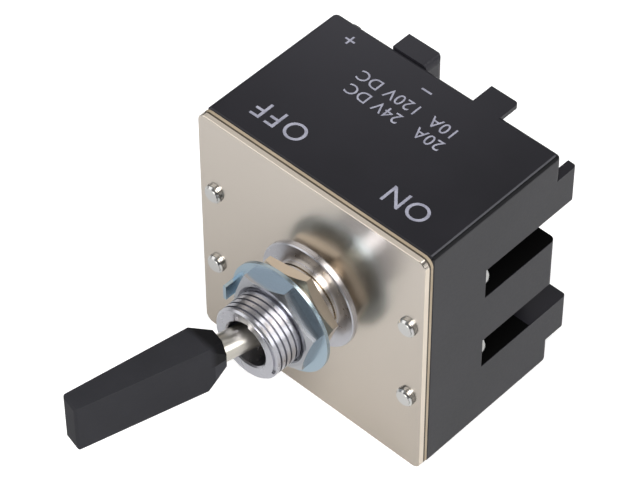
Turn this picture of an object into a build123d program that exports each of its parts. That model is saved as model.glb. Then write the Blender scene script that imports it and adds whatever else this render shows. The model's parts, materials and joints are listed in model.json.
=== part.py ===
import os
from math import cos, radians, sin, tan

from build123d import *

# Panel toggle switch. Millimetres. The bushing axis is Y, the lever side is -Y,
# +Z is the printed face and +X is the ON side. Y = 0 is the front of the face plate.

# Overall housing size, the clearances shared by all pieces, and how far a cut runs past a face
caseHalfX = 21.4
caseHalfZ = 21.9
fit = 0.05
gap = 0.3
over = 1.0

# Plates in front of the housing
plateLipX = 0.15
plateLipZ = 0.1
plateHalfX = caseHalfX + plateLipX
plateHalfZ = caseHalfZ + plateLipZ
plateCorner = 1.5
faceEdge = 0.1
faceBack = 0.8
sheetBack = 1.1
platesBack = 1.55

# Case screws and the pockets for their heads. The room between two rows is shared by the
# head of a case screw and the head of a terminal screw.
rowPitch = 2 * caseHalfZ / 3 + 2 * fit
pocketWall = 0.9
caseScrewZ = rowPitch / 2 + 2 * fit
headRoom = rowPitch - caseScrewZ - pocketWall - 2.5 * gap
caseHeadR = headRoom * 13 / 28
terminalHeadR = headRoom - caseHeadR
caseScrewX = caseHalfX - caseHeadR - 2 * fit
caseScrewR = 1.5
caseHeadFront = 13.2
caseHeadDeep = 1.9
caseScrewTip = -0.8
caseTipChamfer = 0.3
pocketInX = caseScrewX - caseHeadR - gap
pocketLowZ = caseScrewZ - caseHeadR - gap
pocketHighZ = caseScrewZ + caseHeadR + gap

# Housing walls, chambers and terminal cells
caseBack = 28.7
edgeRound = 0.7
backCornerRound = 1.0
frontBevel = 0.45
wall = 1.6
armHalfZ = 2.7
earThick = 0.6
earInner = armHalfZ + gap
earOuter = earInner + earThick
trunnionHalf = earOuter + 2 * fit
chamberHalfX = pocketInX - pocketWall
chamberHalfZ = rowPitch + earOuter + 10 * fit
poleFloor = 9.5
deckFront = 18.9
deckBack = 21.0
rowWall = 1.8
rowWallIn = rowPitch / 2 - rowWall / 2
rowWallOut = rowPitch / 2 + rowWall / 2
columnWallIn = 5.3
columnWallOut = 10.4
cellOuterX = caseHalfX - wall
cellOuterZ = caseHalfZ - wall
tabLong = 3.5
tabBack = caseBack + tabLong
tabRound = 0.6
topTabThick = 0.8
barrierLeft = -10.4
barrierRight = -3.8
barrierBack = tabBack
barrierRound = 1.0
sideTabLong = 6.6
sideTabLow = pocketHighZ
sideTabHigh = pocketHighZ + sideTabLong

# Bushing and its hardware
threadR = 6.0
boreR = 3.75
rearBoreR = 4.6
rearBoreFront = -4.0
bushingFront = -13.2
endChamfer = 0.3
flangeR = 8.9
flangeFront = -0.55
tailR = threadR + 4 * fit
plateHoleR = tailR + gap
stakeLip = 0.7
stakeStand = 0.65
stakeR = plateHoleR + stakeLip
stakeBack = platesBack + stakeStand
keyLeft = -2.15
keyRight = 0.6
keyTop = 5.0
keyDeep = 1.2
nutFlats = 14.0
nutBoreR = threadR + fit
rearNutBack = -2.6
rearNutFront = -4.2
rearNutTurn = 10.0
rearNutMouth = 0.3
frontNutBack = -6.4
frontNutFront = -8.2
frontNutTurn = 13.5
frontNutMouth = 0.45
ringR = 9.25
ringHoleR = threadR + gap
ringTabThick = 0.55
ringShiftX = 0.15
ringShiftZ = 0.2
ringBack = -5.85
ringTabFront = -8.3
ringTabLow = -1.1
ringTabHigh = 1.5

# Lever. Distances are measured from the pivot along the lever.
pivotY = -7.26
restTilt = 13.5
pinR = 0.8
pinHalf = 5.2
hubR = boreR - 8 * fit
stemR = 2.1
tangR = 1.25
tangEnd = 24.0
rodR = 1.3
ballR = 2.0
ballDistance = 13.2
rootEnd = 9.5
shoulder = 12.6
sideCrease = 11.5
tip = 33.5
handleHalfW = 4.35
shoulderHalfV = 2.6
shoulderCornerV = 2.5
tipHalfV = 1.65
rootTopW = 3.1
rootTopV = 1.2
rootSideW = 1.25
rootSideV = 2.35
handleRound = 0.45

# Slider that the lever tail pushes sideways
sliderX = ballDistance * sin(radians(restTilt))
sliderHalfX = 4.0
sliderFront = 3.2
sliderBack = 9.2
sliderHalfZ = chamberHalfZ - gap
ballSlotHalfX = ballR + 2 * fit
ballSlotBack = pivotY + ballDistance + ballR + gap
ballSlotHalfZ = ballR + 8 * fit
plungerR = 1.5
bossWall = 1.1
bossR = plungerR + bossWall
bossBack = 12.6
plungerFront = 11.4
plungerTip = 14.3
springFloor = 8.9
springR = 1.05
wireR = 0.22
springTurns = 3.5
springGap = 0.03

# Rocking contact arms
rockY = 15.9
armRest = 8.0
armVee = 4.0
armLeft = -12.2
armRight = 6.5
armFront = 14.5
armThick = 1.2
trunnionR = 0.5
contactX = -10.5
contactR = 1.6
movingThick = 0.9

# Terminals
fixedFront = 17.5
stripFront = 18.1
earFront = 15.1
earHalfX = 1.5
terminalX = -(columnWallOut + cellOuterX) / 2
padThick = 1.0
riserHalfZ = 1.8
riserThick = 0.8
plusRiserRight = -columnWallOut - gap
minusRiserLeft = 2.8
terminalScrewR = 1.75
screwHoleDeep = 0.8
padHalfZ = terminalHeadR + gap
terminalHeadThick = 2.0
headRound = 0.6
crossHalfLong = 2.2
crossHalfWide = 0.4
caseCrossHalfLong = 1.5
caseCrossHalfWide = 0.35
crossDeep = 1.0
stopLeft = 5.1
stopRight = 6.4
stopFront = 16.4
stopHalfZ = 2.0


def block(x0, x1, y0, y1, z0, z1):
    size = (x1 - x0, y1 - y0, z1 - z0)
    centre = ((x0 + x1) / 2, (y0 + y1) / 2, (z0 + z1) / 2)
    return Pos(*centre) * Box(*size)


def rodY(radius, y0, y1, x=0.0, z=0.0):
    return Pos(x, (y0 + y1) / 2, z) * Rot(90, 0, 0) * Cylinder(radius, y1 - y0)


def rodZ(radius, z0, z1, x=0.0, y=0.0):
    return Pos(x, y, (z0 + z1) / 2) * Cylinder(radius, z1 - z0)


def coneY(radiusFront, radiusBack, y0, y1, x=0.0, z=0.0):
    return Pos(x, (y0 + y1) / 2, z) * Rot(-90, 0, 0) * Cone(radiusFront, radiusBack, y1 - y0)


def save(shape, node):
    shape.label = node
    export_step(shape, "parts/" + node + ".step")


os.makedirs("parts", exist_ok=True)
screwSpots = [(sx * caseScrewX, sz * caseScrewZ) for sx in (-1, 1) for sz in (-1, 1)]
rows = [rowPitch, 0.0, -rowPitch]


def plate(y0, y1, frontEdge=0.0):
    blank = block(-plateHalfX, plateHalfX, y0, y1, -plateHalfZ, plateHalfZ)
    blank = fillet(blank.edges().filter_by(Axis.Y), plateCorner)
    if frontEdge:
        blank = chamfer(blank.faces().sort_by(Axis.Y)[0].edges(), frontEdge)
    blank -= rodY(plateHoleR, y0 - over, y1 + over)
    for x, z in screwSpots:
        blank -= rodY(caseScrewR + fit, y0 - over, y1 + over, x, z)
    return blank


# Three plates: bright front, dark insulating sheet, beige inner plate
save(plate(0, faceBack, faceEdge), "face_plate")
save(plate(faceBack, sheetBack), "insulating_sheet")
save(plate(sheetBack, platesBack), "inner_plate")

# Housing: rounded block, front chamber, three pole chambers, rear terminal cells
housing = block(-caseHalfX, caseHalfX, platesBack, caseBack, -caseHalfZ, caseHalfZ)
housing = fillet(housing.edges().filter_by(Axis.Y), edgeRound)
backSides = [e for e in housing.faces().sort_by(Axis.Y)[-1].edges() if abs(e.center().X) > caseHalfX - 0.1]
housing = fillet(backSides, backCornerRound)
housing = chamfer(housing.faces().sort_by(Axis.Y)[0].edges(), frontBevel)
housing -= block(-chamberHalfX, chamberHalfX, platesBack - over, poleFloor, -chamberHalfZ, chamberHalfZ)
for z0, z1 in ((rowWallOut, chamberHalfZ), (-rowWallIn, rowWallIn), (-chamberHalfZ, -rowWallOut)):
    housing -= block(-chamberHalfX, chamberHalfX, poleFloor - over, deckFront, z0, z1)
pocketSideLow = pocketLowZ - pocketWall
pocketSideHigh = pocketHighZ + pocketWall
for z0, z1 in ((rowWallOut, cellOuterZ), (-rowWallIn, rowWallIn), (-cellOuterZ, -rowWallOut)):
    housing -= block(-columnWallIn, columnWallIn, deckBack, caseBack + over, z0, z1)
    for side in (-1, 1):
        x0, x1 = sorted((side * columnWallOut, side * chamberHalfX))
        housing -= block(x0, x1, deckBack, caseBack + over, z0, z1)
sideCells = ((pocketSideHigh, cellOuterZ), (-pocketSideLow, pocketSideLow), (-cellOuterZ, -pocketSideHigh))
for z0, z1 in sideCells:
    for side in (-1, 1):
        x0, x1 = sorted((side * (chamberHalfX - over / 2), side * cellOuterX))
        housing -= block(x0, x1, deckBack, caseBack + over, z0, z1)
for x, z in screwSpots:
    side = 1 if x > 0 else -1
    up = 1 if z > 0 else -1
    x0, x1 = sorted((side * pocketInX, side * (caseHalfX + over)))
    z0, z1 = sorted((up * pocketLowZ, up * pocketHighZ))
    housing -= block(x0, x1, caseHeadFront, caseBack + over, z0, z1)
    housing -= rodY(caseScrewR + gap, platesBack - over, caseHeadFront + over, x, z)

# Barrier between the plus and minus columns, rounded towards the minus column
barrier = block(barrierLeft, barrierRight, caseBack, barrierBack, -caseHalfZ, caseHalfZ)
barrierEdges = [e for e in barrier.edges() if e.center().X > barrierRight - fit]
barrierEdges = [e for e in barrierEdges if e.center().Y > caseBack + fit]
housing += fillet(barrierEdges, barrierRound)

# Small tabs on the back edge: two on each side wall, one on the top and bottom walls
for side in (-1, 1):
    for up in (-1, 1):
        x0, x1 = sorted((side * (caseHalfX - wall), side * caseHalfX))
        z0, z1 = sorted((up * sideTabLow, up * sideTabHigh))
        tab = block(x0, x1, caseBack - wall, tabBack, z0, z1)
        x0, x1 = sorted((side * pocketInX, side * caseHalfX))
        z0, z1 = sorted((up * sideTabLow, up * (sideTabLow + pocketWall)))
        tab += block(x0, x1, caseBack - wall, tabBack, z0, z1)
        outer = [e for e in tab.edges().filter_by(Axis.Z) if e.center().Y > caseBack]
        outer = [e for e in outer if abs(e.center().X) > caseHalfX - fit]
        housing += fillet(outer, tabRound)
for up in (-1, 1):
    z0, z1 = sorted((up * (caseHalfZ - topTabThick), up * caseHalfZ))
    tab = block(columnWallIn, columnWallOut, caseBack - wall, tabBack, z0, z1)
    outer = [e for e in tab.edges().filter_by(Axis.Z) if e.center().Y > caseBack]
    outer = [e for e in outer if e.center().X > columnWallOut - fit]
    housing += fillet(outer, tabRound)

# Deck slots for the terminal risers, blind holes for the terminal screws, and the arm stops
plusRiserLeft = plusRiserRight - riserThick
for row in rows:
    for left in (plusRiserLeft, minusRiserLeft):
        housing -= block(left, left + riserThick, deckFront - over, deckBack + over,
                         row - riserHalfZ, row + riserHalfZ)
    for x in (terminalX, 0.0):
        housing -= rodY(terminalScrewR + gap, deckFront + screwHoleDeep - gap, deckBack + over, x, row)
    housing += block(stopLeft, stopRight, stopFront, deckFront, row - stopHalfZ, row + stopHalfZ)
save(housing, "housing")

# Bushing: flange, threaded barrel, tail through the plates and a staked end
bushing = rodY(threadR, bushingFront, flangeFront)
bushing = chamfer(bushing.faces().sort_by(Axis.Y)[0].edges(), endChamfer)
bushing += rodY(flangeR, flangeFront, 0)
bushing += rodY(tailR, -4 * fit, platesBack + 2 * fit)
bushing += rodY(stakeR, platesBack, stakeBack)
bushing -= rodY(boreR, bushingFront - over, stakeBack + over)
bushing -= rodY(rearBoreR, rearBoreFront, stakeBack + over)
bushing -= block(keyLeft, keyRight, bushingFront - over, bushingFront + keyDeep, 0, keyTop)
bushing -= rodZ(pinR + fit, -threadR - over, threadR + over, 0, pivotY)
save(bushing, "bushing")


def hexNut(yBack, yFront, turn, mouth):
    length = yBack - yFront
    outline = Rot(0, turn, 0) * Rot(-90, 0, 0) * RegularPolygon(nutFlats / 2, 6, major_radius=False)
    nut = Pos(0, yFront, 0) * extrude(outline, length, dir=(0, 1, 0))
    faceR = nutFlats / 2 + fit
    reach = length + nutFlats * tan(radians(30))
    shell = coneY(faceR, faceR + reach / tan(radians(30)), yFront, yFront + reach)
    nut &= shell
    nut -= rodY(nutBoreR, yFront - over, yBack + over)
    nut -= coneY(nutBoreR + mouth + 4 * fit, nutBoreR, yFront - 4 * fit, yFront + mouth)
    return nut


save(hexNut(rearNutBack, rearNutFront, -rearNutTurn, rearNutMouth), "rear_nut")
save(hexNut(frontNutBack, frontNutFront, -frontNutTurn, frontNutMouth), "front_nut")

# Locking ring with one tab bent forward beside the front nut
ring = rodY(ringR, frontNutBack, ringBack, ringShiftX, ringShiftZ)
tabX = ringShiftX - ringR - fit
ring += block(tabX, tabX + ringTabThick, ringTabFront, ringBack, ringTabLow, ringTabHigh)
ring -= rodY(ringHoleR, frontNutBack - fit, ringBack + over)
save(ring, "locking_ring")

# Hinge pin across the bushing
save(rodZ(pinR, -pinHalf, pinHalf, 0, pivotY), "lever_pin")

# Lever, drawn along -Y from a pivot at the origin, then tilted to the OFF side
toLever = Pos(0, pivotY, 0) * Rot(0, 0, -restTilt)


def leverPoint(u, v, w):
    return Vector(v, -u, w)


stem = Sphere(hubR)
stem += rodY(stemR, -rootEnd, 0)
stem += rodY(tangR, -tangEnd, -rootEnd + over / 2)
stem += rodY(rodR, 0, ballDistance)
stem += Pos(0, ballDistance, 0) * Sphere(ballR)
stem -= rodZ(pinR + fit, -hubR - over, hubR + over)
save(toLever * stem, "lever_stem")


def cutFace(body, points):
    a, b, c = (leverPoint(*p) for p in points)
    normal = (b - a).cross(c - a).normalized()
    if normal.dot(leverPoint((shoulder + tip) / 2, 0, 0) - a) > 0:
        normal = normal * -1
    return split(body, bisect_by=Plane(origin=a, z_dir=normal), keep=Keep.BOTTOM)


tipSketch = Plane(origin=(0, -tip, 0), x_dir=(1, 0, 0), z_dir=(0, -1, 0)) * Rectangle(
    2 * tipHalfV, 2 * handleHalfW)
shoulderSketch = Plane(origin=(0, -shoulder, 0), x_dir=(1, 0, 0), z_dir=(0, -1, 0)) * Rectangle(
    2 * shoulderHalfV, 2 * handleHalfW)
handle = loft([shoulderSketch, tipSketch])
handle += block(-shoulderHalfV, shoulderHalfV, -shoulder, -rootEnd, -handleHalfW, handleHalfW)
for up in (-1, 1):
    edge = up * handleHalfW
    handle = cutFace(handle, ((shoulder, -1, edge), (shoulder, 1, edge), (rootEnd, 0, up * rootTopW)))
    for side in (-1, 1):
        corner = ((shoulder, side * shoulderCornerV, edge), (rootEnd, side * rootTopV, up * rootTopW),
                  (rootEnd, side * rootSideV, up * rootSideW))
        handle = cutFace(handle, corner)
for side in (-1, 1):
    crease = side * shoulderHalfV
    root = (rootEnd, side * rootSideV, 0)
    handle = cutFace(handle, ((sideCrease, crease, -1), (sideCrease, crease, 1), root))
handle -= rodY(tangR + fit, -tangEnd - gap, -rootEnd + over)
longEdges = [e for e in handle.edges() if e.center().Y < -shoulder - over and e.geom_type == GeomType.LINE]
handle = fillet(longEdges, handleRound)
save(toLever * handle, "lever_handle")

# Slider with three bored bosses
slider = block(-sliderHalfX, sliderHalfX, sliderFront, sliderBack, -sliderHalfZ, sliderHalfZ)
slider -= block(-ballSlotHalfX, ballSlotHalfX, sliderFront - over, ballSlotBack,
                -ballSlotHalfZ, ballSlotHalfZ)
for row in rows:
    slider += rodY(bossR, sliderBack - over / 2, bossBack, 0, row)
    slider -= rodY(plungerR + fit, springFloor, bossBack + over, 0, row)
save(Pos(sliderX, 0, 0) * slider, "actuator")

# Plungers and springs in the bosses
springRise = plungerFront - springFloor - 2 * wireR - 2 * springGap
for number, row in enumerate(rows, 1):
    plunger = rodY(plungerR, plungerFront, plungerTip - plungerR, sliderX, row)
    plunger += Pos(sliderX, plungerTip - plungerR, row) * Sphere(plungerR)
    plunger -= rodY(2 * plungerR, plungerFront - 2 * plungerR, plungerFront, sliderX, row)
    save(plunger, "plunger_" + str(number))
    path = Helix(springRise / springTurns, springRise, springR)
    start = path @ 0
    section = Plane(origin=start, z_dir=path % 0) * Circle(wireR)
    coil = sweep(section, path=path, is_frenet=True)
    place = Pos(sliderX, springFloor + wireR + springGap, row) * Rot(-90, 0, 0)
    save(place * coil, "plunger_spring_" + str(number))


# Contact arms: a shallow vee rocking on side trunnions, in the open position at rest
def armY(x):
    return armFront - tan(radians(armVee)) * abs(x)


def placeArm(shape, row):
    moved = Pos(0, -rockY, 0) * shape
    return Pos(0, rockY, row) * Rot(0, 0, armRest) * moved


for number, row in enumerate(rows, 1):
    outline = Polyline(
        (armLeft, armY(armLeft)), (0, armY(0)), (armRight, armY(armRight)),
        (armRight, armY(armRight) + armThick), (0, armY(0) + armThick),
        (armLeft, armY(armLeft) + armThick), close=True)
    arm = extrude(make_face(outline), armHalfZ, both=True)
    arm += rodZ(trunnionR, -trunnionHalf, trunnionHalf, 0, rockY)
    save(placeArm(arm, row), "contact_arm_" + str(number))
    seat = Pos(contactX, armY(contactX) + armThick + 0.001, 0) * Rot(0, 0, armVee)
    button = seat * rodY(contactR, 0, movingThick)
    save(placeArm(button, row), "moving_contact_" + str(number))

# Fixed contacts and terminals
plusPadLeft = -cellOuterX + gap
contactEdge = contactR + gap
padBack = deckBack + padThick
for number, row in enumerate(rows, 1):
    save(rodY(contactR, fixedFront, stripFront, contactX, row), "fixed_contact_" + str(number))
    plus = block(contactX - contactEdge, contactX + contactEdge, stripFront, deckFront,
                 row - contactEdge, row + contactEdge)
    plus += block(plusRiserLeft, plusRiserRight, stripFront, padBack, row - riserHalfZ, row + riserHalfZ)
    plus += block(plusPadLeft, plusRiserRight, deckBack, padBack, row - padHalfZ, row + padHalfZ)
    plus -= rodY(terminalScrewR + fit, deckBack - over, padBack + over, terminalX, row)
    save(plus, "plus_terminal_" + str(number))
    minusRight = minusRiserLeft + riserThick
    minus = block(-earHalfX, minusRight, stripFront, deckFront, row - earOuter, row + earOuter)
    for side in (-1, 1):
        z0, z1 = sorted((row + side * earInner, row + side * earOuter))
        minus += block(-earHalfX, earHalfX, earFront, stripFront, z0, z1)
        minus -= rodZ(trunnionR + fit, z0 - 2 * fit, z1 + 2 * fit, 0, rockY)
        minus -= block(-trunnionR - fit, trunnionR + fit, earFront - over, rockY, z0 - 2 * fit, z1 + 2 * fit)
    minus += block(minusRiserLeft, minusRight, stripFront, padBack, row - riserHalfZ, row + riserHalfZ)
    minus += block(-minusRight, minusRight, deckBack, padBack, row - padHalfZ, row + padHalfZ)
    minus -= rodY(terminalScrewR + fit, deckBack - over / 2, padBack + over, 0, row)
    save(minus, "minus_terminal_" + str(number))


def crossSlot(x, z, headTop, halfLong, halfWide):
    floor = headTop - crossDeep
    slot = block(x - halfLong, x + halfLong, floor, headTop + over, z - halfWide, z + halfWide)
    return slot + block(x - halfWide, x + halfWide, floor, headTop + over, z - halfLong, z + halfLong)


# Terminal screws with cross slots
count = 0
for x in (terminalX, 0.0):
    for row in rows:
        count += 1
        screw = rodY(terminalScrewR, deckFront + screwHoleDeep, padBack + 2 * fit, x, row)
        head = rodY(terminalHeadR, padBack, padBack + terminalHeadThick, x, row)
        screw += fillet(head.faces().sort_by(Axis.Y)[-1].edges(), headRound)
        screw -= crossSlot(x, row, padBack + terminalHeadThick, crossHalfLong, crossHalfWide)
        save(screw, "terminal_screw_" + str(count))

# Case screws, pushed in from the back and screwed through the plates
for number, (x, z) in enumerate(screwSpots, 1):
    headBack = caseHeadFront + caseHeadDeep
    screw = rodY(caseScrewR, caseScrewTip, caseHeadFront + 2 * fit, x, z)
    screw = chamfer(screw.faces().sort_by(Axis.Y)[0].edges(), caseTipChamfer)
    head = rodY(caseHeadR, caseHeadFront, headBack, x, z)
    screw += fillet(head.faces().sort_by(Axis.Y)[-1].edges(), headRound)
    screw -= crossSlot(x, z, headBack, caseCrossHalfLong, caseCrossHalfWide)
    save(screw, "case_screw_" + str(number))
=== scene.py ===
import json
from math import cos, pi, radians, sin

import bpy
from mathutils import Matrix, Vector


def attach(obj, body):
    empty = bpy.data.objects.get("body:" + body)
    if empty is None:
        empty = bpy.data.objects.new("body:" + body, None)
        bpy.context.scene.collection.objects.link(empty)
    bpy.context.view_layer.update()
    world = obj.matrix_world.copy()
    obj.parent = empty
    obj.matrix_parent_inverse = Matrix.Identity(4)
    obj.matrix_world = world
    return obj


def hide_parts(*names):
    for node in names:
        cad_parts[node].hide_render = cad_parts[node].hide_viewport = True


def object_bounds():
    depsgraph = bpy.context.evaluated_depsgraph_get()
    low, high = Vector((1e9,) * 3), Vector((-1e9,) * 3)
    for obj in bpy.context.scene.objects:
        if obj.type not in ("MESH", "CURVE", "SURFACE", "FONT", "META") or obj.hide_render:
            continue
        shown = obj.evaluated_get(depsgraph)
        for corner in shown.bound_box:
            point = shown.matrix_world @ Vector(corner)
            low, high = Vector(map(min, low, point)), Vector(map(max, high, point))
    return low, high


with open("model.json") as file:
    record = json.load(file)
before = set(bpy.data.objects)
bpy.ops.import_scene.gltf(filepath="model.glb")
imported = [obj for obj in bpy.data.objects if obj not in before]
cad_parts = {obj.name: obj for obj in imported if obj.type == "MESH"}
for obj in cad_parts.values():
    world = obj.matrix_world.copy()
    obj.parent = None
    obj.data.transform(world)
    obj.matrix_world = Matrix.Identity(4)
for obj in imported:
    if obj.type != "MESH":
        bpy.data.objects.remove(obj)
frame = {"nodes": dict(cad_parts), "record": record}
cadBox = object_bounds()
nodes = frame["nodes"]
mm = 0.001
weld = 0.000001  # metres: points closer than this are one
smoothAngle = radians(30)
print("frame loaded", len(nodes), "nodes")


# Small helpers

def clearSelection():
    bpy.ops.object.select_all(action="DESELECT")


def makeActive(piece):
    clearSelection()
    piece.select_set(True)
    bpy.context.view_layer.objects.active = piece


def editMode():
    bpy.ops.object.mode_set(mode="EDIT")


def objectMode():
    bpy.ops.object.mode_set(mode="OBJECT")


def applyPlace(piece):
    makeActive(piece)
    bpy.ops.object.transform_apply(location=True, rotation=True, scale=True)


def startPiece(name):
    piece = bpy.context.object
    piece.name = name
    piece.data.name = name
    return piece


def cutWith(piece, cutter):
    makeActive(piece)
    cut = piece.modifiers.new("cut", "BOOLEAN")
    cut.operation = "DIFFERENCE"
    cut.solver = "EXACT"
    cut.object = cutter
    bpy.ops.object.modifier_apply(modifier=cut.name)
    bpy.data.objects.remove(cutter, do_unlink=True)


def turnedPiece(name, outline, steps=96):
    # outline is a closed list of (radius, y) in millimetres, spun about the Y axis
    clearSelection()
    bpy.ops.mesh.primitive_plane_add(size=1, location=(0, 0, 0))
    piece = startPiece(name)
    editMode()
    bpy.ops.mesh.select_all(action="SELECT")
    bpy.ops.mesh.merge(type="CENTER")
    first = Vector((outline[0][0], outline[0][1], 0)) * mm
    bpy.ops.transform.translate(value=first)
    here = first
    for radius, y in outline[1:] + outline[:1]:
        there = Vector((radius, y, 0)) * mm
        bpy.ops.mesh.extrude_region_move(TRANSFORM_OT_translate={"value": there - here})
        here = there
    bpy.ops.mesh.select_all(action="SELECT")
    bpy.ops.mesh.remove_doubles(threshold=weld)
    bpy.ops.mesh.select_all(action="SELECT")
    bpy.ops.mesh.spin(steps=steps, angle=2 * pi, center=(0, 0, 0), axis=(0, 1, 0))
    bpy.ops.mesh.select_all(action="SELECT")
    bpy.ops.mesh.remove_doubles(threshold=weld)
    bpy.ops.mesh.normals_make_consistent(inside=False)
    objectMode()
    return piece


# Shares of the pitch for the section that is wound to cut a thread, and how far its root narrows
threadShape = {"depth": 0.6134, "outside": 0.12, "mouth": 0.94, "rootShare": 0.34}


def threadGroove(name, crest, pitch, front, turns, steps=48):
    # a trapezoid section wound along Y, wide at the crest and narrower at the root
    depth = threadShape["depth"] * pitch
    outside = threadShape["outside"] * pitch
    clearSelection()
    bpy.ops.mesh.primitive_plane_add(size=1, location=(0, 0, 0))
    coil = startPiece(name)
    editMode()
    bpy.ops.mesh.select_all(action="SELECT")
    bpy.ops.transform.resize(value=((depth + outside) * mm, threadShape["mouth"] * pitch * mm, 1))
    bpy.ops.transform.translate(value=((crest - depth / 2 + outside / 2) * mm, front * mm, 0))
    bpy.ops.mesh.select_mode(type="VERT")
    objectMode()
    for vertex in coil.data.vertices:
        vertex.select = vertex.co.x < (crest - depth / 2) * mm
    editMode()
    rootSize = (1, threadShape["rootShare"], 1)
    bpy.ops.transform.resize(value=rootSize, center_override=(crest * mm, front * mm, 0))
    objectMode()
    wind = coil.modifiers.new("wind", "SCREW")
    wind.axis = "Y"
    wind.angle = 2 * pi
    wind.screw_offset = pitch * mm
    wind.iterations = turns
    wind.steps = steps
    wind.render_steps = steps
    wind.use_merge_vertices = False
    makeActive(coil)
    bpy.ops.object.modifier_apply(modifier=wind.name)
    editMode()
    bpy.ops.mesh.select_all(action="SELECT")
    bpy.ops.mesh.remove_doubles(threshold=weld)
    bpy.ops.mesh.select_all(action="SELECT")
    bpy.ops.mesh.fill_holes(sides=0)
    bpy.ops.mesh.select_all(action="SELECT")
    bpy.ops.mesh.normals_make_consistent(inside=False)
    objectMode()
    return coil


# Materials

def newMaterial(name, colour, metallic, roughness, ior=1.5):
    material = bpy.data.materials.new(name)
    material.use_nodes = True
    shader = material.node_tree.nodes["Principled BSDF"]
    shader.inputs["Base Color"].default_value = (*colour, 1)
    shader.inputs["Metallic"].default_value = metallic
    shader.inputs["Roughness"].default_value = roughness
    shader.inputs["IOR"].default_value = ior
    return material, shader


def objectNoise(material, scale, detail=3):
    tree = material.node_tree
    place = tree.nodes.new("ShaderNodeTexCoord")
    noise = tree.nodes.new("ShaderNodeTexNoise")
    noise.inputs["Scale"].default_value = scale
    noise.inputs["Detail"].default_value = detail
    tree.links.new(place.outputs["Object"], noise.inputs["Vector"])
    return noise


def addBump(material, shader, noise, strength, distance):
    bump = material.node_tree.nodes.new("ShaderNodeBump")
    bump.inputs["Strength"].default_value = strength
    bump.inputs["Distance"].default_value = distance
    material.node_tree.links.new(noise.outputs["Fac"], bump.inputs["Height"])
    material.node_tree.links.new(bump.outputs["Normal"], shader.inputs["Normal"])


def mixColour(material, shader, noise, dark, light, low=0.35, high=0.65):
    ramp = material.node_tree.nodes.new("ShaderNodeValToRGB")
    ramp.color_ramp.elements[0].position = low
    ramp.color_ramp.elements[0].color = (*dark, 1)
    ramp.color_ramp.elements[1].position = high
    ramp.color_ramp.elements[1].color = (*light, 1)
    material.node_tree.links.new(noise.outputs["Fac"], ramp.inputs["Fac"])
    material.node_tree.links.new(ramp.outputs["Color"], shader.inputs["Base Color"])


def varyRoughness(material, shader, noise, low, high):
    spread = material.node_tree.nodes.new("ShaderNodeMapRange")
    spread.inputs["To Min"].default_value = low
    spread.inputs["To Max"].default_value = high
    material.node_tree.links.new(noise.outputs["Fac"], spread.inputs["Value"])
    material.node_tree.links.new(spread.outputs["Result"], shader.inputs["Roughness"])


metalGrain = {
    "cloud": 60, "cloudDetail": 2, "low": 0.2, "high": 0.8, "fine": 1400, "fineDetail": 3, "deep": 0.0001,
}


def metal(name, dark, light, smooth, rough, bump=0.02):
    material, shader = newMaterial(name, light, 1.0, smooth)
    cloud = objectNoise(material, metalGrain["cloud"], metalGrain["cloudDetail"])
    mixColour(material, shader, cloud, dark, light, metalGrain["low"], metalGrain["high"])
    fine = objectNoise(material, metalGrain["fine"], metalGrain["fineDetail"])
    varyRoughness(material, shader, fine, smooth, rough)
    addBump(material, shader, fine, bump, metalGrain["deep"])
    return material


def pastLimit(material, axis, limit, absolute=True, below=False):
    # 1 where the object's own coordinate lies past the limit, 0 elsewhere
    tree = material.node_tree
    place = tree.nodes.new("ShaderNodeTexCoord")
    parts = tree.nodes.new("ShaderNodeSeparateXYZ")
    size = tree.nodes.new("ShaderNodeMath")
    size.operation = "ABSOLUTE" if absolute else "ADD"
    size.inputs[1].default_value = 0
    past = tree.nodes.new("ShaderNodeMath")
    past.operation = "LESS_THAN" if below else "GREATER_THAN"
    past.inputs[1].default_value = limit * mm
    tree.links.new(place.outputs["Object"], parts.inputs["Vector"])
    tree.links.new(parts.outputs[axis], size.inputs[0])
    tree.links.new(size.outputs[0], past.inputs[0])
    return past.outputs[0]


def fadeAlong(material, axis, start, end):
    # rises from 0 to 1 between two object coordinates
    tree = material.node_tree
    place = tree.nodes.new("ShaderNodeTexCoord")
    parts = tree.nodes.new("ShaderNodeSeparateXYZ")
    rise = tree.nodes.new("ShaderNodeMapRange")
    rise.inputs["From Min"].default_value = start * mm
    rise.inputs["From Max"].default_value = end * mm
    tree.links.new(place.outputs["Object"], parts.inputs["Vector"])
    tree.links.new(parts.outputs[axis], rise.inputs["Value"])
    return rise.outputs["Result"]


def joinMasks(material, operation, masks):
    tree = material.node_tree
    joined = masks[0]
    for mask in masks[1:]:
        both = tree.nodes.new("ShaderNodeMath")
        both.operation = operation
        tree.links.new(joined, both.inputs[0])
        tree.links.new(mask, both.inputs[1])
        joined = both.outputs[0]
    return joined


def treatPlace(material, mask, colour, roughness, specular=None):
    # another colour and roughness where the mask is 1
    tree = material.node_tree
    shader = tree.nodes["Principled BSDF"]
    changes = [("Base Color", (*colour, 1), "RGBA"), ("Roughness", roughness, "FLOAT")]
    if specular is not None:
        changes.append(("Specular IOR Level", specular, "FLOAT"))
    for socket, value, kind in changes:
        mix = tree.nodes.new("ShaderNodeMix")
        mix.data_type = kind
        here = [i for i in mix.inputs if i.name == "A" and i.enabled][0]
        there = [i for i in mix.inputs if i.name == "B" and i.enabled][0]
        result = [o for o in mix.outputs if o.enabled][0]
        if shader.inputs[socket].links:
            tree.links.new(shader.inputs[socket].links[0].from_socket, here)
        else:
            here.default_value = shader.inputs[socket].default_value
        there.default_value = value
        tree.links.new(mask, mix.inputs[0])
        tree.links.new(result, shader.inputs[socket])


mouldingGrain = {"cloud": 90, "cloudDetail": 4, "fineDetail": 2, "deep": 0.00005}


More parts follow.
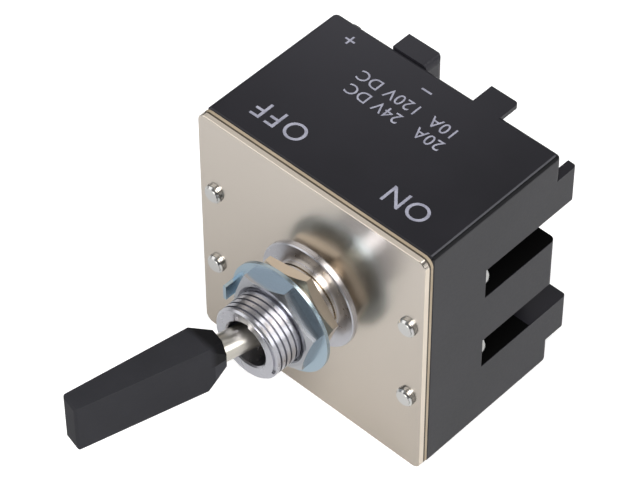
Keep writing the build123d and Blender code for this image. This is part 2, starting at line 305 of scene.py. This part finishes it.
def moulding(name, dark, light, smooth, rough, grain=2600, bump=0.12, ior=1.5):
    material, shader = newMaterial(name, light, 0.0, smooth, ior)
    cloud = objectNoise(material, mouldingGrain["cloud"], mouldingGrain["cloudDetail"])
    mixColour(material, shader, cloud, dark, light)
    fine = objectNoise(material, grain, mouldingGrain["fineDetail"])
    varyRoughness(material, shader, fine, smooth, rough)
    addBump(material, shader, fine, bump, mouldingGrain["deep"])
    return material


finishes = {
    "bright_plate": metal("brightPlate", (0.54, 0.485, 0.42), (0.57, 0.51, 0.445), 0.19, 0.25),
    "dark_sheet": moulding("darkSheet", (0.050, 0.038, 0.024), (0.085, 0.065, 0.045), 0.6, 0.75, 1500),
    "beige_sheet": moulding("beigeSheet", (0.36, 0.29, 0.20), (0.44, 0.36, 0.26), 0.55, 0.7, 1500),
    "black_moulding": moulding(
        "blackMoulding", (0.010, 0.0095, 0.013), (0.013, 0.0122, 0.0165), 0.32, 0.42, ior=1.46),
    "bushing_zinc": metal("bushingZinc", (0.52, 0.52, 0.56), (0.56, 0.56, 0.60), 0.26, 0.30, bump=0.004),
    "rear_nut_nickel": metal(
        "rearNutNickel", (0.56, 0.49, 0.41), (0.62, 0.55, 0.46), 0.26, 0.32, bump=0.008),
    "front_nut_zinc": metal(
        "frontNutZinc", (0.38, 0.39, 0.41), (0.42, 0.43, 0.46), 0.20, 0.26, bump=0.006),
    "ring_zinc": metal("ringZinc", (0.36, 0.46, 0.54), (0.42, 0.53, 0.61), 0.22, 0.28, bump=0.006),
    "pin_steel": metal("pinSteel", (0.45, 0.45, 0.45), (0.6, 0.6, 0.6), 0.25, 0.35),
    "stem_nickel": metal("stemNickel", (0.58, 0.55, 0.49), (0.66, 0.63, 0.57), 0.26, 0.32, bump=0.006),
    "black_handle": moulding(
        "blackHandle", (0.024, 0.024, 0.028), (0.029, 0.029, 0.034), 0.60, 0.70, 2200, 0.08, 1.25),
    "slider_moulding": moulding("sliderMoulding", (0.55, 0.52, 0.44), (0.66, 0.63, 0.55), 0.4, 0.55),
    "plunger_steel": metal("plungerSteel", (0.45, 0.45, 0.45), (0.6, 0.6, 0.6), 0.2, 0.3),
    "spring_steel": metal("springSteel", (0.35, 0.35, 0.35), (0.5, 0.5, 0.5), 0.25, 0.35),
    "arm_copper": metal("armCopper", (0.60, 0.30, 0.17), (0.74, 0.40, 0.25), 0.22, 0.34),
    "contact_silver": metal("contactSilver", (0.72, 0.72, 0.70), (0.85, 0.85, 0.83), 0.2, 0.3),
    "terminal_brass": metal("terminalBrass", (0.58, 0.44, 0.20), (0.72, 0.57, 0.29), 0.22, 0.34),
    "terminal_screw_steel": metal("terminalScrewSteel", (0.55, 0.53, 0.48), (0.68, 0.66, 0.6), 0.2, 0.32),
    "case_screw_steel": metal("caseScrewSteel", (0.60, 0.60, 0.59), (0.68, 0.68, 0.67), 0.16, 0.26),
}

# Places where a finish differs, and places where light and shade are painted into the colour. Limits are
# object coordinates in millimetres.
plateLook = {
    "low": -20, "high": 20, "paintedTopLightColour": (0.67, 0.61, 0.545), "highRough": 0.22,
    "rimX": 21.46, "rimZ": 21.91, "rimHighlightColour": (0.86, 0.78, 0.68), "rimRough": 0.62,
}
plateFinish = finishes["bright_plate"]
# painted light: the plate is coloured lighter towards its top and darker towards the floor, as light falls
# on it
paintedTopLight = fadeAlong(plateFinish, "Z", plateLook["low"], plateLook["high"])
treatPlace(plateFinish, paintedTopLight, plateLook["paintedTopLightColour"], plateLook["highRough"])
# painted highlight: a light band on the plate's side and top edges, where a bevel would catch the light
paintedRimHighlight = joinMasks(plateFinish, "MAXIMUM", [
    pastLimit(plateFinish, "X", plateLook["rimX"]), pastLimit(plateFinish, "Z", plateLook["rimZ"])])
treatPlace(plateFinish, paintedRimHighlight, plateLook["rimHighlightColour"], plateLook["rimRough"])

caseLook = {
    "farX": (21, -21), "farY": (-6, 28), "farSheenColour": (0.030, 0.029, 0.036), "farRough": 0.36,
    "pocketX": (15.0, 21.3), "pocketFront": 12.9, "pocketZ": (2.5, 12.6), "lowPocketBack": 23.9,
    "pocketShadeColour": (0.002, 0.002, 0.002), "pocketRough": 0.8, "pocketShine": 0.05,
    "lineX": 20.68, "lineZ": 21.85, "highlightLineColour": (0.075, 0.075, 0.085), "lineRough": 0.4,
    "shadeX": 20.98, "shadeZ": 21.42, "shadeColour": (0.003, 0.003, 0.004), "shadeRough": 0.5,
    "shadeShine": 0.25,
}
caseFinish = finishes["black_moulding"]
# painted sheen: the moulding is coloured lighter towards −X and the back, as if it caught more light there
paintedFarCornerSheen = joinMasks(caseFinish, "MULTIPLY", [
    fadeAlong(caseFinish, "X", *caseLook["farX"]), fadeAlong(caseFinish, "Y", *caseLook["farY"])])
treatPlace(caseFinish, paintedFarCornerSheen, caseLook["farSheenColour"], caseLook["farRough"])
# painted shade: the insides of the screw pockets are coloured near black and less shiny, where shade falls;
# in the lower pockets only short of lowPocketBack
paintedPocketShade = joinMasks(caseFinish, "MULTIPLY", [
    pastLimit(caseFinish, "X", caseLook["pocketX"][0]),
    pastLimit(caseFinish, "X", caseLook["pocketX"][1], below=True),
    pastLimit(caseFinish, "Y", caseLook["pocketFront"]),
    pastLimit(caseFinish, "Z", caseLook["pocketZ"][0]),
    pastLimit(caseFinish, "Z", caseLook["pocketZ"][1], below=True),
    joinMasks(caseFinish, "MAXIMUM", [
        pastLimit(caseFinish, "Z", 0, absolute=False),
        pastLimit(caseFinish, "Y", caseLook["lowPocketBack"], below=True)]),
])
treatPlace(
    caseFinish, paintedPocketShade, caseLook["pocketShadeColour"], caseLook["pocketRough"], caseLook["pocketShine"])
# painted highlight: a lighter line on the top face along its edge with the +X side
paintedHighlightLine = joinMasks(caseFinish, "MULTIPLY", [
    pastLimit(caseFinish, "X", caseLook["lineX"], absolute=False),
    pastLimit(caseFinish, "Z", caseLook["lineZ"], absolute=False)])
treatPlace(caseFinish, paintedHighlightLine, caseLook["highlightLineColour"], caseLook["lineRough"])
# painted shade: a near-black band on the rounded edge between the top face and the +X side, next to the
# painted highlight
edgeShade = joinMasks(caseFinish, "MULTIPLY", [
    pastLimit(caseFinish, "X", caseLook["shadeX"], absolute=False),
    pastLimit(caseFinish, "Z", caseLook["shadeZ"], absolute=False)])
treatPlace(caseFinish, edgeShade, caseLook["shadeColour"], caseLook["shadeRough"], caseLook["shadeShine"])

bushingLook = {"rearFront": -5.9, "rearBack": -0.6, "rearColour": (0.60, 0.54, 0.46), "rearRough": 0.24}
bushingFinish = finishes["bushing_zinc"]
rearPart = joinMasks(bushingFinish, "MULTIPLY", [
    pastLimit(bushingFinish, "Y", bushingLook["rearFront"], absolute=False),
    pastLimit(bushingFinish, "Y", bushingLook["rearBack"], absolute=False, below=True),
])
treatPlace(bushingFinish, rearPart, bushingLook["rearColour"], bushingLook["rearRough"])

handleLook = {
    "middle": 0.2, "upperFade": (-19.8, -18.6), "upperShadeColour": (0.007, 0.007, 0.008), "upperRough": 0.5,
    "upperShine": 0.3, "lowerFront": -19.1, "lowerLightColour": (0.036, 0.036, 0.042), "lowerRough": 0.6,
}
handleFinish = finishes["black_handle"]
# painted shade: the upper facets at the handle's root are coloured near black, as a dark reflection
paintedRootShade = joinMasks(handleFinish, "MULTIPLY", [
    fadeAlong(handleFinish, "Y", *handleLook["upperFade"]),
    pastLimit(handleFinish, "Z", handleLook["middle"], absolute=False)])
treatPlace(
    handleFinish, paintedRootShade, handleLook["upperShadeColour"], handleLook["upperRough"], handleLook["upperShine"])
# painted light: the lower facets at the handle's root are coloured lighter, as if they caught more light
paintedRootLight = joinMasks(handleFinish, "MULTIPLY", [
    pastLimit(handleFinish, "Y", handleLook["lowerFront"], absolute=False),
    pastLimit(handleFinish, "Z", handleLook["middle"], absolute=False, below=True)])
treatPlace(handleFinish, paintedRootLight, handleLook["lowerLightColour"], handleLook["lowerRough"])

slotOf = {part["node"]: part["material_slot"] for part in frame["record"]["subparts"]}
for name, piece in nodes.items():
    finish = finishes[slotOf[name]]
    if piece.data.materials:
        for index in range(len(piece.data.materials)):
            piece.data.materials[index] = finish
    else:
        piece.data.materials.append(finish)
print("materials set")

# Bushing with its real thread and key groove
bushing = {
    "crest": 6.0, "pitch": 1.0, "front": -13.2, "endEdge": 5.7, "bore": 3.75, "mouth": 0.25,
    "flange": 8.9, "flangeFront": -0.55, "flangeSoft": 0.15,
    "rearBore": 4.6, "rearBoreFront": -4.0, "tail": 6.2, "platesBack": 1.55, "stake": 7.2, "stakeBack": 2.2,
    "keyLeft": -2.15, "keyRight": 0.6, "keyTop": 5.1, "keyDeep": 0.45, "keyOver": 1.0,
    "threadLead": 0.9, "turns": 13,
}
b = bushing
barrel = turnedPiece("threadedBushing", [
    (b["bore"], b["front"] + b["mouth"]), (b["bore"] + b["mouth"], b["front"]), (b["endEdge"], b["front"]),
    (b["crest"], b["front"] + b["crest"] - b["endEdge"]), (b["crest"], b["flangeFront"]),
    (b["flange"] - b["flangeSoft"], b["flangeFront"]), (b["flange"], b["flangeFront"] + b["flangeSoft"]),
    (b["flange"], 0), (b["tail"], 0), (b["tail"], b["platesBack"]), (b["stake"], b["platesBack"]),
    (b["stake"], b["stakeBack"]), (b["rearBore"], b["stakeBack"]), (b["rearBore"], b["rearBoreFront"]),
    (b["bore"], b["rearBoreFront"]),
])
cutWith(barrel, threadGroove(
    "barrelGroove", b["crest"], b["pitch"], b["front"] - b["threadLead"], b["turns"]))
clearSelection()
keyMiddle = Vector((
    (b["keyLeft"] + b["keyRight"]) / 2, b["front"] + (b["keyDeep"] - b["keyOver"]) / 2, b["keyTop"] / 2))
bpy.ops.mesh.primitive_cube_add(size=1, location=keyMiddle * mm)
keyCutter = startPiece("keyCutter")
keyCutter.scale = ((b["keyRight"] - b["keyLeft"]) * mm, (b["keyDeep"] + b["keyOver"]) * mm, b["keyTop"] * mm)
applyPlace(keyCutter)
cutWith(barrel, keyCutter)
makeActive(barrel)
bpy.ops.object.shade_smooth_by_angle(angle=smoothAngle)
barrel.data.materials.clear()
barrel.data.materials.append(finishes["bushing_zinc"])
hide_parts("bushing")
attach(barrel, "case")
print("bushing made")

# Case screws: threaded shank with a chamfered tip, pan head with a cross recess
caseScrew = {
    "x": 18.7, "z": 7.45, "crest": 1.5, "pitch": 0.5, "tip": -0.8, "tipEdge": 1.2, "turns": 6,
    "threadLead": 0.45, "threadSteps": 32, "headFront": 13.2, "headDeep": 1.6, "head": 2.35, "headSoft": 0.7,
    "shoulderIn": 0.18, "shoulderDown": 0.25, "headSteps": 48, "slot": 0.7, "slotLong": 3.0, "slotDeep": 1.0,
}
s = caseScrew
headBack = s["headFront"] + s["headDeep"]
screwMaster = turnedPiece("caseScrewMaster", [
    (0, s["tip"]), (s["tipEdge"], s["tip"]), (s["crest"], s["tip"] + s["crest"] - s["tipEdge"]),
    (s["crest"], s["headFront"]), (s["head"], s["headFront"]), (s["head"], headBack - s["headSoft"]),
    (s["head"] - s["shoulderIn"], headBack - s["shoulderDown"]), (s["head"] - s["headSoft"], headBack),
    (0, headBack),
], s["headSteps"])
cutWith(screwMaster, threadGroove(
    "screwGroove", s["crest"], s["pitch"], s["tip"] - s["threadLead"], s["turns"], s["threadSteps"]))
for long, thin in ((s["slotLong"], s["slot"]), (s["slot"], s["slotLong"])):
    clearSelection()
    bpy.ops.mesh.primitive_cube_add(size=1, location=(0, headBack * mm, 0))
    slotCutter = startPiece("slotCutter")
    slotCutter.scale = (long * mm, 2 * s["slotDeep"] * mm, thin * mm)
    applyPlace(slotCutter)
    cutWith(screwMaster, slotCutter)
makeActive(screwMaster)
bpy.ops.object.shade_smooth_by_angle(angle=smoothAngle)
screwMaster.data.materials.clear()
screwMaster.data.materials.append(finishes["case_screw_steel"])
screwSpots = [(sx * s["x"], sz * s["z"]) for sx in (-1, 1) for sz in (-1, 1)]
for number, (x, z) in enumerate(screwSpots, 1):
    copy = screwMaster.copy()
    copy.data = screwMaster.data.copy()
    copy.name = "caseScrew" + str(number)
    bpy.context.scene.collection.objects.link(copy)
    copy.location = (x * mm, 0, z * mm)
    applyPlace(copy)
    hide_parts("case_screw_" + str(number))
    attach(copy, "case")
bpy.data.objects.remove(screwMaster, do_unlink=True)
print("case screws made")

# Printed words and signs on the top face. Their tops point to the face plate.
# Each mark has its words, height, spacing, place and name.
printed = {
    "top": 21.9, "thick": 0.02, "lift": 0.004, "curveSteps": 6,
    "ink": (0.34, 0.34, 0.41), "inkRough": 0.5, "inkGrain": 900,
    "inkDark": (0.29, 0.29, 0.36), "inkLight": (0.39, 0.39, 0.47),
    "marks": [
        ("ON", 4.9, 1.05, (12.1, 6.95), "onWord"),
        ("OFF", 4.9, 1.2, (-11.6, 6.8), "offWord"),
        ("+", 3.8, 1.0, (-15.7, 25.55), "plusSign"),
        ("−", 3.9, 1.0, (-0.68, 25.3), "minusSign"),
        ("20A   24V DC", 2.95, 1.05, (-0.7, 18.23), "upperRating"),
        ("10A  120V DC", 2.95, 1.05, (-0.9, 21.33), "lowerRating"),
    ],
}
ink, inkShader = newMaterial("whiteInk", printed["ink"], 0.0, printed["inkRough"])
mixColour(ink, inkShader, objectNoise(ink, printed["inkGrain"]), printed["inkDark"], printed["inkLight"])
for words, height, spacing, (x, y), name in printed["marks"]:
    clearSelection()
    bpy.ops.object.text_add(location=(0, 0, 0))
    mark = bpy.context.object
    mark.data.body = words
    mark.data.size = height * mm
    mark.data.space_character = spacing
    mark.data.align_x = "CENTER"
    mark.data.align_y = "CENTER"
    mark.data.extrude = printed["thick"] / 2 * mm
    mark.data.resolution_u = printed["curveSteps"]
    bpy.ops.object.convert(target="MESH")
    mark = bpy.context.object
    mark.name = name
    mark.data.name = name
    mark.rotation_euler = (0, 0, pi)
    mark.location = (x * mm, y * mm, (printed["top"] + printed["lift"] + printed["thick"] / 2) * mm)
    applyPlace(mark)
    mark.data.materials.clear()
    mark.data.materials.append(ink)
    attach(mark, "case")
print("print made")

# Floor: white to the camera, and it keeps the object's soft shadow
floorLook = {"size": 4, "colour": (0.80, 0.80, 0.80, 1), "glow": 0.55}
clearSelection()
bpy.ops.mesh.primitive_plane_add(size=floorLook["size"], location=(0, 0, cadBox[0][2]))
floor = startPiece("floor")
applyPlace(floor)
floorMaterial = bpy.data.materials.new("paleFloor")
floorMaterial.use_nodes = True
tree = floorMaterial.node_tree
tree.nodes.clear()
out = tree.nodes.new("ShaderNodeOutputMaterial")
paper = tree.nodes.new("ShaderNodeBsdfDiffuse")
paper.inputs["Color"].default_value = floorLook["colour"]
glow = tree.nodes.new("ShaderNodeEmission")
path = tree.nodes.new("ShaderNodeLightPath")
power = tree.nodes.new("ShaderNodeMath")
power.operation = "MULTIPLY"
power.inputs[1].default_value = floorLook["glow"]
both = tree.nodes.new("ShaderNodeAddShader")
tree.links.new(path.outputs["Is Camera Ray"], power.inputs[0])
tree.links.new(power.outputs[0], glow.inputs["Strength"])
tree.links.new(paper.outputs[0], both.inputs[0])
tree.links.new(glow.outputs[0], both.inputs[1])
tree.links.new(both.outputs[0], out.inputs["Surface"])
floor.data.materials.append(floorMaterial)

# World: soft grey light, darker near the horizon, white to the camera
skyLook = {"low": 0.1, "high": 0.9, "lowPower": 0.06, "highPower": 0.26}
world = bpy.data.worlds.new("softWorld")
bpy.context.scene.world = world
world.use_nodes = True
sky = world.node_tree.nodes["Background"]
sky.inputs["Color"].default_value = (1, 1, 1, 1)
worldNodes = world.node_tree.nodes
worldLinks = world.node_tree.links
skyPlace = worldNodes.new("ShaderNodeTexCoord")
skyHeight = worldNodes.new("ShaderNodeSeparateXYZ")
skyRamp = worldNodes.new("ShaderNodeMapRange")
skyRamp.inputs["From Min"].default_value = skyLook["low"]
skyRamp.inputs["From Max"].default_value = skyLook["high"]
skyRamp.inputs["To Min"].default_value = skyLook["lowPower"]
skyRamp.inputs["To Max"].default_value = skyLook["highPower"]
worldPath = worldNodes.new("ShaderNodeLightPath")
worldPower = worldNodes.new("ShaderNodeMix")
worldPower.inputs["B"].default_value = 1.0
worldLinks.new(skyPlace.outputs["Generated"], skyHeight.inputs["Vector"])
worldLinks.new(skyHeight.outputs["Z"], skyRamp.inputs["Value"])
worldLinks.new(worldPath.outputs["Is Camera Ray"], worldPower.inputs["Factor"])
worldLinks.new(skyRamp.outputs["Result"], worldPower.inputs["A"])
worldLinks.new(worldPower.outputs["Result"], sky.inputs["Strength"])

# Lamps
lamps = {
    "keyPanel": {"place": (0.38, -0.44, 0.75), "size": 0.5, "power": 6.4},
    "sidePanel": {"place": (0.75, 0.15, 0.35), "size": 0.5, "power": 3.0},
    "leftPanel": {"place": (-0.6, -0.35, 0.5), "size": 0.85, "power": 3.0},
    "backPanel": {"place": (0.13, 0.45, 0.78), "size": 0.16, "power": 0.4},
    "rimPanel": {"place": (0.76, -0.44, 0.20), "size": 0.10, "power": 0.11},
    "topGlow": {"place": (-0.08, 0.12, 0.10), "size": 0.06, "power": 0.006},
}
for name, lamp in lamps.items():
    clearSelection()
    bpy.ops.object.light_add(type="AREA", location=lamp["place"])
    panel = bpy.context.object
    panel.name = name
    panel.data.size = lamp["size"]
    panel.data.energy = lamp["power"]
    panel.rotation_euler = Vector(lamp["place"]).to_track_quat("Z", "Y").to_euler()
print("stage and lamps made")

# Camera, solved from the plate and housing edges of the photograph
camera = {
    "azimuth": 43.226, "elevation": 47.376, "roll": -0.215,
    "place": (203.40, -214.23, 332.25), "lens": 175.22, "sensor": 36, "near": 0.01,
}
az, el, roll = (radians(camera[k]) for k in ("azimuth", "elevation", "roll"))
back = Vector((sin(az) * cos(el), -cos(az) * cos(el), sin(el)))
level = Vector((cos(az), sin(az), 0))
upright = back.cross(level)
right = level * cos(roll) + upright * sin(roll)
up = back.cross(right)
clearSelection()
bpy.ops.object.camera_add()
eye = bpy.context.object
eye.name = "photoCamera"
eye.data.lens = camera["lens"]
eye.data.sensor_width = camera["sensor"]
eye.data.sensor_fit = "HORIZONTAL"
eye.data.clip_start = camera["near"]
turn = Matrix((right, up, back)).transposed().to_4x4()
turn.translation = Vector(camera["place"]) * mm
eye.matrix_world = turn
bpy.context.scene.camera = eye
bpy.context.scene.view_settings.view_transform = "Standard"
print("camera placed")
